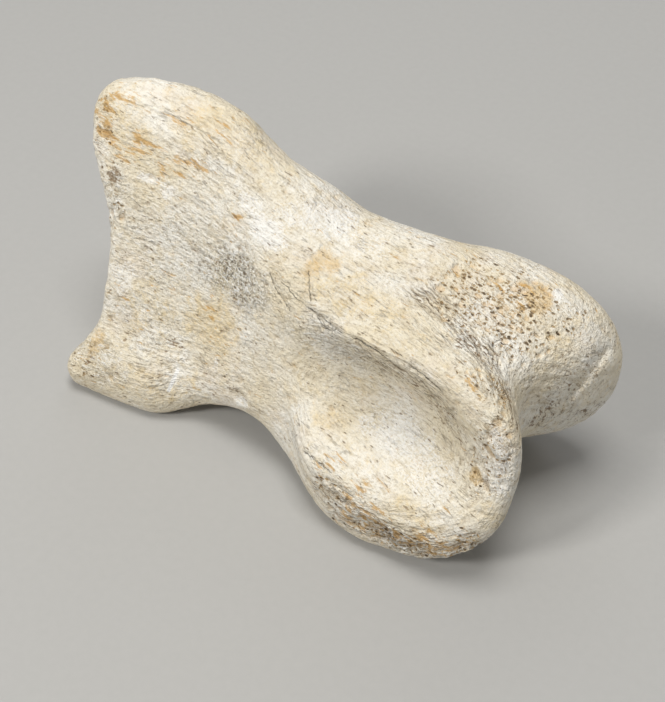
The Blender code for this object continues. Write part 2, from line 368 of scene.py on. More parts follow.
PATCHES: dict[Mark, tuple[Patch, ...]] = {
    Mark.OCHRE: (
        Patch((-48.2, 0.5, 53.0), (3.5, 4.5, 7.0), 0.95),
        Patch((-45.0, 2.5, 57.0), (5.0, 4.0, 3.0), 0.6),
        Patch((-43.5, -2.0, 47.5), (4.0, 4.0, 5.0), 0.6),
        Patch((-38.5, -0.7, 49.5), (4.0, 3.5, 3.0), 0.75),
        Patch((-32.5, -0.5, 48.5), (6.0, 3.5, 3.0), 0.85),
        Patch((-26.5, -0.4, 49.5), (4.0, 3.0, 2.5), 0.7),
        Patch((-34.2, -1.8, 45.5), (2.0, 2.0, 2.0), 0.6),
        Patch((-15.7, -3.6, 45.4), (1.6, 2.0, 1.6), 0.8),
        Patch((-25.0, 4.5, 56.0), (14.0, 4.0, 3.0), 0.45),
        Patch((-14.7, -12.1, 20.9), (4.0, 3.0, 4.0), 0.5),
        Patch((-19.7, -9.5, 26.4), (4.0, 3.0, 3.0), 0.5),
        Patch((15.4, -22.0, 14.8), (3.5, 3.0, 3.0), 0.5),
        Patch((24.6, -21.9, 14.3), (4.5, 3.0, 2.5), 0.55),
        Patch((22.5, 9.8, 44.5), (5.0, 4.0, 3.0), 0.5),
        Patch((34.0, 9.0, 43.0), (5.0, 4.0, 4.0), 0.5),
        Patch((37.8, -12.6, 41.0), (1.8, 1.8, 1.8), 0.8),
        Patch((23.2, -24.6, 9.7), (2.5, 2.5, 2.0), 0.9),
        Patch((37.9, -24.0, 9.0), (8.0, 3.5, 4.5), 1.0),
        Patch((43.5, -22.0, 13.0), (4.0, 3.0, 4.0), 0.6),
        Patch((27.0, -24.5, 8.0), (10.0, 4.0, 4.5), 0.8),
        Patch((-44.0, 20.0, 20.0), (8.0, 8.0, 14.0), 0.5),
        Patch((40.0, 20.0, 12.0), (12.0, 8.0, 8.0), 0.6),
        Patch((-30.0, 6.0, 0.0), (14.0, 12.0, 4.0), 0.5),
        Patch((30.0, -4.0, 2.0), (16.0, 8.0, 5.0), 0.6),
    ),
    Mark.STAIN: (
        Patch((2.7, -4.3, 43.9), (4.5, 3.5, 3.5), 0.8),
        Patch((4.5, -1.0, 45.0), (6.0, 4.0, 3.0), 0.35),
        Patch((38.3, 10.3, 42.6), (4.0, 3.5, 3.5), 0.9),
        Patch((-41.5, -17.8, 11.8), (2.2, 3.0, 5.0), 0.9),
        Patch((42.0, -17.1, 24.6), (1.5, 1.5, 1.6), 1.0),
        Patch((-37.9, 6.2, 58.0), (3.0, 3.0, 2.0), 0.5),
        Patch((-12.0, 18.0, 26.0), (8.0, 4.0, 6.0), 0.5),
        Patch((50.0, -6.0, 14.0), (5.0, 5.0, 5.0), 0.4),
    ),
    Mark.STRAW: (
        Patch((-26.0, 4.5, 55.0), (16.0, 6.0, 5.0), 0.5),
        Patch((-43.0, 0.0, 52.0), (8.0, 5.0, 8.0), 0.5),
        Patch((-17.0, -10.5, 24.0), (9.0, 4.0, 7.0), 0.65),
        Patch((-31.6, -11.6, 20.7), (8.0, 5.0, 8.0), 0.45),
        Patch((21.7, -16.8, 17.7), (7.0, 4.0, 4.0), 0.35),
        Patch((11.6, -14.9, 20.4), (5.0, 4.0, 4.0), 0.35),
        Patch((12.0, -7.0, 42.0), (12.0, 5.0, 4.0), 0.5),
        Patch((34.0, -22.0, 13.0), (10.0, 4.0, 4.0), 0.5),
        Patch((-24.0, -19.0, 9.0), (14.0, 6.0, 5.0), 0.45),
        Patch((-5.0, 16.0, 30.0), (20.0, 8.0, 16.0), 0.5),
        Patch((45.0, 6.0, 38.0), (6.0, 8.0, 5.0), 0.35),
    ),
    Mark.GREY: (
        Patch((-13.7, -7.5, 35.4), (8.0, 4.5, 6.0), 1.0),
        Patch((-18.0, -7.0, 34.0), (6.0, 4.0, 5.0), 0.65),
        Patch((-7.5, -9.0, 35.5), (4.0, 3.0, 3.0), 0.6),
        Patch((30.3, -24.8, 6.3), (2.6, 2.5, 2.2), 0.95),
        Patch((-43.0, -5.0, 40.5), (2.5, 3.0, 5.0), 0.4),
        Patch((12.0, -12.0, 35.0), (14.0, 4.0, 4.0), 0.4),
        Patch((-28.0, -7.0, 38.0), (8.0, 4.0, 6.0), 0.35),
        Patch((-34.4, -5.9, 35.4), (7.0, 4.0, 7.0), 0.3),
        Patch((-32.0, -13.0, 18.5), (10.0, 5.0, 7.0), 0.36),
        Patch((-39.0, -18.5, 9.5), (7.0, 5.0, 6.0), 0.3),
        Patch((-30.0, -8.0, 29.5), (9.0, 4.0, 6.0), 0.3),
        Patch((-8.0, 18.0, 18.0), (14.0, 6.0, 10.0), 0.4),
    ),
    Mark.CHALK_AND_HIGHLIGHT: (
        Patch((-8.9, -4.0, 45.2), (5.0, 3.5, 3.0), 0.8),
        Patch((-13.6, -2.1, 48.1), (3.5, 3.0, 2.0), 0.6),
        Patch((1.6, 3.8, 46.3), (6.0, 5.0, 3.0), 0.7),
        Patch((-4.0, 1.5, 47.5), (7.0, 5.0, 3.0), 0.6),
        Patch((9.0, 2.5, 45.5), (6.0, 4.0, 3.0), 0.5),
        Patch((15.0, -2.0, 43.5), (4.0, 3.0, 3.0), 0.45),
        Patch((-36.2, -2.4, 44.4), (3.0, 2.5, 1.6), 0.8),
        Patch((-31.6, -2.4, 43.6), (3.5, 2.5, 1.6), 0.7),
        Patch((-38.3, -10.7, 24.5), (3.5, 3.0, 4.5), 0.6),
        Patch((40.5, 12.7, 42.2), (1.4, 1.4, 1.4), 1.0),
        Patch((44.4, -15.9, 34.8), (1.8, 2.0, 2.4), 0.8),
        Patch((46.0, -16.8, 27.0), (3.0, 2.5, 9.0), 0.6),
        Patch((-8.2, -15.8, 11.4), (2.6, 2.2, 1.6), 0.8),
        Patch((-22.0, -13.8, 15.5), (1.6, 2.0, 2.2), 0.5),
        Patch((-15.1, -13.5, 16.5), (1.0, 1.5, 2.5), 0.6),
        Patch((-38.0, -18.5, 10.0), (3.0, 2.5, 2.0), 0.5),
        Patch((25.0, -13.6, 21.0), (11.0, 5.0, 6.5), 0.62),
        Patch((33.0, -18.0, 19.0), (8.0, 4.5, 5.0), 0.6),
        # Painted highlight: the next four patches lighten the low rim's ridges, the top of the near end, the
        # ridge behind it and the far knuckle's front.
        Patch((30.0, -24.0, 10.5), (15.0, 4.0, 5.0), 0.36),
        Patch((-36.0, 3.0, 56.0), (9.0, 6.0, 5.0), 0.4),
        Patch((-24.0, 4.0, 54.5), (11.0, 5.0, 4.0), 0.36),
        Patch((49.0, 7.0, 31.0), (6.0, 9.0, 8.0), 0.36),
        Patch((10.0, 17.0, 34.0), (10.0, 5.0, 6.0), 0.5),
    ),
    Mark.BROWN: (
        Patch((-43.9, -4.0, 42.8), (2.0, 2.4, 2.4), 0.95),
        Patch((-43.4, -3.0, 45.4), (1.5, 2.0, 1.6), 0.5),
        Patch((-24.5, -13.2, 16.8), (3.0, 2.0, 1.6), 0.5),
        # Under the far knuckle: the next two patches are partly brown staining, partly painted shade under
        # the knuckle.
        Patch((44.7, 2.0, 23.5), (6.0, 5.0, 6.0), 0.5),
        Patch((50.5, 12.0, 18.5), (4.0, 6.0, 4.0), 0.5),
        Patch((42.7, -2.3, 35.3), (3.0, 3.0, 3.0), 0.35),
        Patch((26.0, -1.2, 42.0), (7.0, 2.2, 3.0), 0.45),
        Patch((35.0, -4.6, 40.7), (6.0, 2.6, 3.0), 0.6),
        Patch((41.5, -8.8, 38.9), (4.0, 2.8, 3.0), 0.6),
        Patch((24.0, -13.6, 35.5), (9.0, 3.0, 3.5), 0.42),
        Patch((33.5, -14.0, 31.5), (5.0, 3.0, 5.0), 0.42),
        Patch((34.0, -24.6, 5.5), (13.0, 3.0, 2.6), 0.42),
        Patch((20.0, -24.8, 8.0), (6.0, 3.0, 3.0), 0.3),
        Patch((-42.5, -19.5, 7.0), (4.0, 4.0, 4.0), 0.3),
        Patch((49.0, 5.0, 31.0), (6.0, 10.0, 8.0), 0.34),
        Patch((45.0, -11.5, 36.0), (4.0, 3.5, 6.0), 0.45),
        Patch((21.7, -11.5, 31.0), (8.0, 3.0, 3.0), 0.35),
        Patch((-10.0, -14.9, 13.6), (2.4, 1.5, 0.9), 0.7),
    ),
    Mark.PITTED: (
        Patch((32.5, 5.0, 42.5), (10.0, 8.0, 4.5), 1.0),
        Patch((37.0, 1.0, 41.0), (6.5, 4.0, 4.0), 0.9),
        Patch((27.0, 3.5, 42.8), (6.0, 4.0, 3.0), 0.6),
        Patch((44.0, 7.0, 40.0), (6.0, 8.0, 4.0), 0.3),
        Patch((40.0, -11.5, 39.5), (8.0, 3.0, 4.0), 0.45),
        Patch((44.0, -15.8, 32.0), (3.5, 3.0, 9.0), 0.4),
        Patch((-44.0, 8.0, 28.0), (6.0, 14.0, 20.0), 0.35),
    ),
    Mark.SPONGY: (
        Patch((32.0, -25.0, 6.5), (16.0, 3.5, 3.5), 1.0),
        Patch((44.5, -22.0, 9.5), (5.0, 5.0, 5.5), 0.9),
        Patch((44.0, -16.5, 29.0), (4.5, 3.5, 11.0), 0.5),
        Patch((18.0, -24.5, 9.5), (6.0, 3.0, 4.0), 0.6),
        Patch((-47.5, 0.0, 48.0), (3.5, 5.0, 12.0), 0.25),
        Patch((-42.0, -5.0, 34.0), (3.0, 4.0, 10.0), 0.35),
        Patch((40.0, 16.0, 8.0), (10.0, 6.0, 5.0), 0.6),
        Patch((-38.0, 20.0, 3.0), (9.0, 6.0, 4.0), 0.6),
        Patch((-41.0, -20.0, 8.0), (6.0, 4.0, 6.0), 0.22),
    ),
    Mark.FIBROUS_AND_SHADE: (
        Patch((5.0, -9.0, 39.5), (14.0, 3.5, 4.0), 1.0),
        Patch((20.0, -12.0, 37.0), (12.0, 3.5, 5.0), 0.8),
        Patch((34.0, -5.0, 41.0), (9.0, 3.4, 3.0), 1.0),
        Patch((24.5, -1.0, 42.3), (9.0, 2.8, 3.0), 0.9),
        Patch((16.0, 0.5, 43.9), (6.0, 2.6, 2.5), 0.6),
        # Painted shade: the next three patches darken the hollow's upper wall with tan and brown fibre marks.
        Patch((25.0, -14.0, 36.8), (9.0, 3.0, 4.5), 0.9),
        Patch((32.5, -14.0, 33.0), (6.0, 3.0, 5.0), 0.9),
        Patch((36.8, -14.5, 28.0), (4.0, 3.0, 6.0), 0.7),
        Patch((43.0, -10.5, 38.0), (5.0, 3.5, 4.0), 1.0),
        Patch((47.5, -14.5, 31.0), (3.0, 3.0, 7.0), 0.8),
        Patch((15.0, -23.0, 12.0), (9.0, 3.0, 4.0), 0.6),
        Patch((-24.0, 4.0, 55.0), (15.0, 5.0, 4.0), 0.22),
        Patch((-22.0, 0.5, 51.5), (12.0, 3.0, 3.0), 0.3),
        Patch((-18.0, -8.0, 38.0), (14.0, 5.0, 8.0), 0.5),
        Patch((33.0, -24.5, 9.5), (13.0, 3.5, 5.5), 0.85),
        Patch((49.0, 5.0, 31.0), (6.0, 9.0, 7.0), 0.45),
        Patch((-38.0, -18.0, 10.0), (8.0, 5.0, 7.0), 0.5),
        Patch((-8.0, 16.0, 26.0), (22.0, 5.0, 8.0), 0.6),
        Patch((-28.0, -15.0, 14.0), (10.0, 5.0, 5.0), 0.5),
        Patch((46.0, 4.0, 24.0), (5.0, 8.0, 6.0), 0.6),
    ),
    Mark.WORN: (
        Patch((52.0, 14.0, 28.0), (3.0, 6.0, 8.0), 0.9),
        Patch((-16.0, 10.0, 51.5), (16.0, 3.5, 3.0), 0.7),
        Patch((22.0, -17.0, 20.0), (10.0, 4.0, 6.0), 0.4),
        Patch((-34.0, 3.5, 56.5), (14.0, 6.0, 5.0), 0.6),
        Patch((2.0, 1.0, 46.5), (10.0, 5.0, 4.0), 0.4),
    ),
}


class Seam(Enum):
    """The fine dark cracks, each drawn through a few places."""

    LIP_LOWER = ((-6.1, -7.7, 40.5), (-3.9, -9.2, 38.4), (-1.4, -10.3, 37.4), (1.1, -11.3, 36.3))
    LIP_MIDDLE = (
        (-4.6, -8.0, 40.5), (0.9, -9.9, 39.2), (3.9, -10.7, 39.0), (6.9, -11.4, 39.0),
        (10.7, -12.8, 39.0), (13.8, -13.6, 39.4),
    )
    LIP_UPPER = (
        (2.8, -10.3, 39.1), (6.6, -11.6, 38.5), (8.4, -12.4, 37.7), (10.1, -12.9, 38.0), (11.6, -12.7, 39.9),
    )
    LIP_LAST = ((13.8, -13.6, 39.6), (18.4, -14.1, 40.1), (21.3, -14.4, 39.8), (23.6, -14.3, 38.4))
    CROSSING = ((1.4, -5.8, 43.2), (2.4, -7.7, 41.8), (3.7, -9.4, 40.5), (4.6, -10.1, 39.9))
    FOSSA_EDGE = ((26.2, -14.5, 40.2), (30.2, -14.7, 39.5), (34.4, -15.1, 37.9))
    RIM_SLIT = ((9.1, -20.9, 14.4), (13.6, -21.9, 14.8), (16.9, -22.4, 14.2))
    RIM_SLIT_LOWER = ((16.8, -23.5, 12.5), (20.2, -23.5, 12.5), (22.8, -23.7, 12.1))
    CURL = (
        (37.3, -0.5, 40.5), (36.4, -0.8, 40.7), (36.2, -2.0, 40.6), (36.7, -3.0, 40.3), (37.6, -3.2, 40.0),
    )
    FAR_SIDE = ((-14.0, 15.6, 32.4), (-9.0, 15.2, 30.4), (-5.0, 15.0, 30.2), (0.5, 15.4, 28.6))


class Scar(Enum):
    """The pale scratches, drawn the same way."""

    HEEL = ((-22.9, -15.1, 12.7), (-23.2, -16.6, 10.5), (-23.7, -18.0, 7.8))


class Bundle(Enum):
    """The middle of each band of close fibre lines, drawn the same way."""

    VALLEY = (
        (15.9, 0.8, 43.9), (22.6, -0.3, 42.7), (27.5, -1.2, 41.7), (32.6, -3.2, 41.0), (36.9, -5.4, 40.3),
        (40.7, -8.1, 39.3), (43.6, -10.5, 38.3),
    )
    LIP = (
        (3.0, -11.2, 37.7), (10.4, -13.0, 37.3), (16.9, -13.6, 37.4), (23.9, -13.6, 36.5),
        (30.1, -14.1, 35.6), (35.3, -14.4, 32.0), (39.2, -15.3, 28.2),
    )
    LIP_BELOW = (
        (7.4, -12.2, 32.8), (13.6, -11.4, 30.3), (20.7, -11.2, 28.1), (27.2, -11.9, 26.7),
        (32.9, -13.5, 24.7), (37.2, -16.0, 22.5),
    )
    RIM = (
        (14.6, -23.5, 12.2), (21.0, -24.5, 10.1), (27.5, -24.7, 8.8), (34.4, -24.4, 9.4), (40.8, -23.4, 11.3),
        (45.7, -21.2, 15.5),
    )
    TOP = ((-39.8, 4.2, 57.8), (-29.4, 5.3, 57.2), (-19.9, 5.7, 55.3), (-14.4, 6.1, 52.9))
    TOP_BELOW = ((-35.1, 2.0, 54.3), (-25.6, 1.3, 53.1), (-17.1, 0.0, 50.8), (-9.4, -2.0, 47.6))
    FAR_SIDE = ((-30.0, 18.5, 30.0), (-12.0, 16.0, 26.0), (8.0, 16.5, 26.0), (24.0, 19.0, 30.0))


class Crease(Enum):
    """The low step across the far knuckle, drawn the same way."""

    FAR_KNUCKLE = (
        (51.4, 15.9, 34.0), (51.5, 13.5, 33.3), (51.2, 11.3, 32.1), (50.5, 9.6, 30.2), (49.7, 8.4, 27.7),
        (48.6, 7.3, 25.3), (47.5, 6.6, 22.4),
    )


def soft_step(value: np.ndarray, low: float | np.ndarray, high: float | np.ndarray) -> np.ndarray:
    """A soft step from 0 at low to 1 at high.

    Args:
        value: the numbers.
        low: what gives 0.
        high: what gives 1.

    Returns:
        The shares, from 0 to 1.
    """
    share = np.clip((value - low) / (high - low), 0.0, 1.0)
    return share * share * (3 - 2 * share)


@dataclass(frozen=True)
class Lumps:
    """A layered noise: the size of a lump in millimetres, how many layers it has, and what shifts it."""

    size: float
    layers: int
    seed: float

    def at(self, points: np.ndarray) -> np.ndarray:
        """The noise at each point, about -1 to 1."""
        read = (points / self.size + self.seed).tolist()
        return np.array([noise.fractal(place, LAYER_FALL, LAYER_STEP, self.layers) for place in read])


@dataclass(frozen=True)
class Cells:
    """A cell pattern: the size of a cell in millimetres, and what shifts it."""

    size: float
    seed: float

    def at(self, points: np.ndarray) -> tuple[np.ndarray, np.ndarray]:
        """The pattern at each point.

        Args:
            points: where it is read, in millimetres.

        Returns:
            The distance from the cell's middle as a share of its size, and a number from 0 to 1 that each
            cell has as its own.
        """
        found = [noise.voronoi(place) for place in (points / self.size + self.seed).tolist()]
        distance = np.array([distances[0] for distances, _ in found])
        own = np.array([noise.cell(middles[0] * CELL_SHUFFLE) for _, middles in found])
        return distance, 0.5 + 0.5 * own


@dataclass(frozen=True)
class Beside:
    """Where each point lies beside one drawn line.

    side is the distance to the left of it in millimetres, less than 0 on its right, and share the share
    along it, from 0 to 1.
    """

    side: np.ndarray
    share: np.ndarray

    def faded(self, ends: Span) -> np.ndarray:
        """How much of the line is there: all of it between the two shares, and nothing at its ends."""
        return soft_step(self.share, 0.0, ends[0]) * (1 - soft_step(self.share, ends[1], 1.0))

    def near(self, inner: float, outer: float) -> np.ndarray:
        """1 within the inner distance of the line, and 0 beyond the outer one."""
        return 1 - soft_step(np.abs(self.side), inner, outer)


def beside_line(points: np.ndarray, normals: np.ndarray, line: tuple[Place, ...]) -> Beside:
    """Where each point lies beside a drawn line.

    Args:
        points: the points, in millimetres.
        normals: which way the surface faces at each.
        line: the places that the line runs through.

    Returns:
        The distances beside it and the shares along it.
    """
    best = np.full(len(points), np.inf)
    side = np.zeros(len(points))
    share = np.zeros(len(points))
    stops = np.array(line)
    for number, (start, end) in enumerate(zip(stops[:-1], stops[1:])):
        way = end - start
        t = np.clip((points - start) @ way / (way @ way), 0, 1)
        offset = points - start - t[:, None] * way
        distance = np.linalg.norm(offset, axis=1)
        offset -= normals * (offset * normals).sum(axis=1, keepdims=True)
        left = np.sign((np.cross(normals, way) * offset).sum(axis=1))
        nearer = distance < best
        best = np.where(nearer, distance, best)
        side = np.where(nearer, left * np.linalg.norm(offset, axis=1), side)
        share = np.where(nearer, (number + t) / (len(stops) - 1), share)
    return Beside(np.where(best > LINE_LIMIT, np.sign(side) * best, side), share)


@dataclass(frozen=True)
class Fibres:
    """Coordinates along the shaft's fibres and round the hollow, and each point's share of the second."""

    shaft: np.ndarray
    ring: np.ndarray
    share: np.ndarray

    def drawn(self, pattern: Callable[[np.ndarray], np.ndarray]) -> np.ndarray:
        """A pattern that turns from one lie of the fibres to the other.

        Args:
            pattern: gives a number for each row of coordinates.

        Returns:
            The pattern's number at each point.
        """
        return pattern(self.shaft) * (1 - self.share) + pattern(self.ring) * self.share


@dataclass(frozen=True)
class Coat:
    """One coat of paint: where it lies, its colour, and how strong it is there."""

    where: Flow
    paint: Colour
    strength: float = 1.0


@dataclass(frozen=True)
class Patterns:
    """The patterns and marks that both the fossil's colour and its bump read."""

    place: bpy.types.NodeSocket
    mottle: Flow
    crumb: Flow
    grit: Flow
    fibre: Flow
    thread: Flow
    salt: Flow
    chalk: Flow
    spots: Flow
    cores: Flow
    pores: Flow
    pits: Flow
    floors: Flow
    bundles: Flow
    cracks: Flow
    grey: Flow
    fibrous_and_shade: Flow
    spongy: Flow
    worn: Flow


@dataclass(frozen=True)
class FossilFinish:
    """Cream bone turned to stone: fibres, pores, cracks, iron stains and chalky skin, with painted shade in
    its hollows, pit floors and low places and painted highlight on fine ridges and a few patches.

    A scale says how many lumps or cells there are to a millimetre, and crisp how strong the finer layers
    of a noise are.
    """

    cream: Colour = field(default_factory=lambda: ink(232, 221, 196))
    pale: Colour = field(default_factory=lambda: ink(241, 237, 226))
    tan: Colour = field(default_factory=lambda: ink(196, 180, 150))
    straw: Colour = field(default_factory=lambda: ink(226, 203, 154))
    ochre: Colour = field(default_factory=lambda: ink(205, 162, 92))
    orange: Colour = field(default_factory=lambda: ink(221, 192, 141))
    rust: Colour = field(default_factory=lambda: ink(170, 124, 60))
    brown: Colour = field(default_factory=lambda: ink(126, 100, 68))
    dark: Colour = field(default_factory=lambda: ink(72, 60, 46))
    grey: Colour = field(default_factory=lambda: ink(158, 151, 132))
    chalk: Colour = field(default_factory=lambda: ink(246, 245, 241))
    pink: Colour = field(default_factory=lambda: ink(229, 216, 199))
    crisp: float = 0.62
    mottle_scale: float = 0.5
    crumb_scale: float = 1.1
    grit_scale: float = 2.6
    fibre_scale: float = 0.95
    thread_scale: float = 2.2
    salt_scale: float = 1.7
    spot_scale: float = 1.0
    pore_scale: float = 1.5
    pit_scale: float = 1.75
    fine_pit_scale: float = 3.1
    hairline_scale: float = 0.42
    bundle_gap: float = 0.42
    twin_gap: float = 0.75
    ior: float = 1.5

    def material(self) -> bpy.types.Material:
        """Builds the material.

        Returns:
            The material.
        """
        bench = Bench("fossil_bone")
        seen = self._patterns(bench)
        colour = self.cream
        for coat in (*self._skin(bench, seen), *self._specks(bench, seen), *self._holes(bench, seen)):
            colour = bench.mix(coat.where * coat.strength, colour, coat.paint)
        bench.feed(bench.shader.inputs["Base Color"], colour)
        rough = 0.7 + seen.mottle * 0.16 + seen.chalk * 0.1 - seen.worn * 0.14
        bench.feed(bench.shader.inputs["Roughness"], rough.held())
        bench.shader.inputs["IOR"].default_value = self.ior
        sockets = {"Strength": 1.0, "Distance": MM, "Height": self._height(seen)}
        bump = bench.node("ShaderNodeBump", {}, sockets)
        bench.feed(bench.shader.inputs["Normal"], bump.outputs["Normal"])
        return bench.material

    def _patterns(self, bench: Bench) -> Patterns:
        """Everything that is read more than once.

        Args:
            bench: the material's bench.

        Returns:
            The patterns.
        """
        place = bench.place()
        mottle = bench.cloud(place, self.mottle_scale, 4.0, self.crisp)
        grit = bench.cloud(place, self.grit_scale, 2.0, self.crisp)
        spots, cores = self._spots(bench)
        pits, floors = self._pits(bench, place)
        return Patterns(
            place=place,
            mottle=mottle,
            crumb=bench.cloud(place, self.crumb_scale, 2.0, self.crisp),
            grit=grit,
            fibre=bench.lie(lambda lie: bench.cloud(bench.bent(lie, 0.6, 0.6), self.fibre_scale, 2.0, 0.65)),
            thread=bench.lie(lambda lie: self._thread(bench, lie)),
            salt=bench.cloud(bench.bent(place, 1.4, 0.5), self.salt_scale, 2.0, 0.7),
            chalk=self._ragged_mark(bench, "chalk", self._ragged(mottle, grit), 0.36, 0.82),
            spots=spots,
            cores=cores,
            pores=self._pores(bench, mottle),
            pits=pits,
            floors=floors,
            bundles=self._bundles(bench, place),
            cracks=self._cracks(bench, place),
            grey=bench.mark("grey"),
            fibrous_and_shade=bench.mark("fibrous_and_shade"),
            spongy=bench.mark("spongy"),
            worn=bench.mark("worn"),
        )

    def _thread(self, bench: Bench, lie: bpy.types.NodeSocket) -> Flow:
        """The finest fibres, on one lie of them."""
        squeezed = bench.bent(bench.scaled(lie, (2.3, 1, 1)), 1.0, 0.3)
        return bench.cloud(squeezed, self.thread_scale, 3.0, self.crisp)

    def _ragged(self, mottle: Flow, grit: Flow) -> Flow:
        """What makes the edge of a mark ragged, about 0."""
        return (mottle - 0.5) * 1.1 + (grit - 0.5) * 1.3

    def _ragged_mark(self, bench: Bench, name: str, ragged: Flow, low: float, high: float) -> Flow:
        """A mark with a ragged edge, and nothing at all outside its patches.

        Args:
            bench: the material's bench.
            name: the mark.
            ragged: what makes its edge ragged.
            low: what gives 0.
            high: what gives 1.

        Returns:
            How far the mark covers each point.
        """
        return (bench.mark(name) + ragged).between(low, high) * bench.mark(name).between(0.02, 0.3)

    def _skin(self, bench: Bench, seen: Patterns) -> list[Coat]:
        """The broad tones: pale, pink and straw skin, orange stains, tan fibres with painted shade in the low
        places of the fine relief, grey places, and chalky places that are partly painted highlight.

        Args:
            bench: the material's bench.
            seen: the patterns.

        Returns:
            The coats, from the lowest up.
        """
        ragged = self._ragged(seen.mottle, seen.grit)
        straw = (bench.mark("straw") + ragged * 0.8).between(0.2, 0.9)
        stain = (bench.mark("stain") + ragged * 0.5).between(0.3, 0.9)
        grey = (seen.grey * (0.4 + 0.7 * seen.grit.between(0.56, 0.38))).held()
        return [
            Coat(bench.cloud(seen.place, 0.07, 3.0).between(0.35, 0.65), self.pale),
            Coat(bench.cloud(seen.place, 0.12, 2.0).between(0.52, 0.75), self.pink, 0.45),
            Coat(seen.mottle.between(0.48, 0.7), self.straw, 0.36),
            Coat(straw, self.straw, 0.75),
            Coat(stain, self.orange, 0.8),
            # Tan where the fine fibre, grit and crumb relief is low: partly the bone's own tan grain, partly
            # painted shade in those low places.
            Coat(seen.fibre.between(0.5, 0.34) * (0.3 + 0.3 * seen.fibrous_and_shade), self.tan),
            Coat(seen.grit.between(0.48, 0.33) * (0.4 - 0.3 * seen.worn), self.tan),
            Coat(grey, self.grey, 0.5),
            Coat(seen.crumb.between(0.46, 0.3) * (0.45 - 0.3 * seen.worn), self.tan),
            # Chalky skin; where the patches that lighten the low rim, the near end's top, its ridge and the
            # far knuckle's front lie, it is painted highlight.
            Coat(seen.chalk, self.chalk, 0.68),
        ]

    def _specks(self, bench: Bench, seen: Patterns) -> list[Coat]:
        """The small tones: brown dash marks along the fibres that are partly painted shade in their low
        places, chalk fleck marks that are partly painted highlight on their high places, salt and pepper,
        ochre spots, brown speckle.

        Args:
            bench: the material's bench.
            seen: the patterns.

        Returns:
            The coats, from the lowest up.
        """
        dashes_and_shade = 0.3 + 0.35 * seen.fibrous_and_shade + 0.3 * seen.grey + 0.2 * seen.spongy - 0.25 * seen.worn
        flecks_and_highlight = (0.3 + 0.7 * seen.grey + 0.45 * seen.spongy).held()
        uneven = (0.5 - seen.grit) * 1.6 + (0.5 - seen.thread) * 3.0
        return [
            # Brown where the finest fibres are low, partly painted shade there; chalk where they are high,
            # partly painted highlight.
            Coat(seen.thread.between(0.46, 0.32) * dashes_and_shade.held(), self.brown),
            Coat(seen.thread.between(0.54, 0.66) * flecks_and_highlight, self.chalk),
            Coat(seen.salt.between(0.47, 0.37) * seen.grey, self.dark, 0.72),
            Coat(seen.salt.between(0.55, 0.63) * seen.grey, self.chalk, 0.9),
            Coat(seen.spots, self.ochre, 0.75),
            Coat(seen.cores, self.rust, 0.55),
            Coat(self._ragged_mark(bench, "brown", uneven, 0.5, 0.95), self.brown, 0.75),
        ]

    def _holes(self, bench: Bench, seen: Patterns) -> list[Coat]:
        """The tones of what is cut in: ochre pits, painted shade in the carved hollows and on the pits'
        floors, pores, fibre lines that are partly painted shade, cracks, and the pale scratches.

        Args:
            bench: the material's bench.
            seen: the patterns.

        Returns:
            The coats, from the lowest up.
        """
        scar_side = abs(bench.mark("scar_side") + seen.mottle * 0.4 - 0.2)
        return [
            Coat(seen.pits, self.ochre, 0.62),
            # Painted shade: brown in the carved pits, holes and rows of the spongy places.
            Coat(bench.mark("hollow").between(0.35, 0.9) * seen.spongy, self.brown, 0.34),
            # Painted shade: dark on the floors of the pits.
            Coat(seen.floors, self.dark),
            Coat(seen.pores, self.brown, 0.7),
            # Brown along the fibre-bundle lines: partly the bone's own brown lines, partly painted shade in
            # their grooves.
            Coat(seen.bundles, self.brown, 0.5),
            Coat(seen.cracks, self.dark, 0.75),
            Coat(scar_side.between(0.46, 0.26) * bench.mark("scar_here").between(0.1, 0.5), self.chalk),
        ]

    def _height(self, seen: Patterns) -> Flow:
        """The height of the finest relief, in millimetres.

        Args:
            seen: the patterns.

        Returns:
            The height that the bump reads.
        """
        height = seen.fibre * (0.45 + 0.35 * seen.fibrous_and_shade + 0.7 * seen.spongy)
        height = height + seen.crumb * (0.5 + 0.5 * seen.spongy)
        height = height + seen.thread * (0.3 + 0.2 * seen.fibrous_and_shade + 0.2 * seen.grey + 0.5 * seen.spongy)
        height = height + seen.salt * 0.5 * seen.grey + seen.grit * (0.18 + 0.14 * seen.grey)
        height = height * (1.0 - 0.5 * seen.worn) + seen.mottle * 0.35
        cuts = (
            (seen.pores, 0.12), (seen.pits, 0.16), (seen.floors, 0.2),
            (seen.cracks, 0.22), (seen.spots, 0.05), (seen.bundles, 0.3),
        )
        for cut, depth in cuts:
            height = height - cut * depth
        return height

    def _spots(self, bench: Bench) -> tuple[Flow, Flow]:
        """Ochre spots and short streaks of iron, as many as the mark asks for.

        Args:
            bench: the material's bench.

        Returns:
            How far each point is stained, and how far it is in a spot's dark middle.
        """
        short = bench.scaled(bench.coordinates("grain"), (1.7, 1.0, 1.0))
        streak = bench.cloud(bench.bent(short, 1.2, 0.5), self.spot_scale, 3.0, 0.68)
        streak = streak + bench.mark("ochre") * 0.2 - 0.035
        return streak.between(0.6, 0.71), streak.between(0.71, 0.82)

    def _pores(self, bench: Bench, mottle: Flow) -> Flow:
        """Small vessel holes, drawn out along the fibres and scattered all over.

        Args:
            bench: the material's bench.
            mottle: where they gather.

        Returns:
            0 on the surface and 1 in a hole.
        """
        squeezed = bench.scaled(bench.bent(bench.coordinates("grain"), 0.9, 0.9), (2.8, 1.0, 1.0))
        distance, own, size = bench.cells(squeezed, self.pore_scale)
        chosen = own.between(0.68, 0.74) * mottle.between(0.4, 0.52)
        return (distance - size * 0.12).between(0.24, 0.08) * chosen

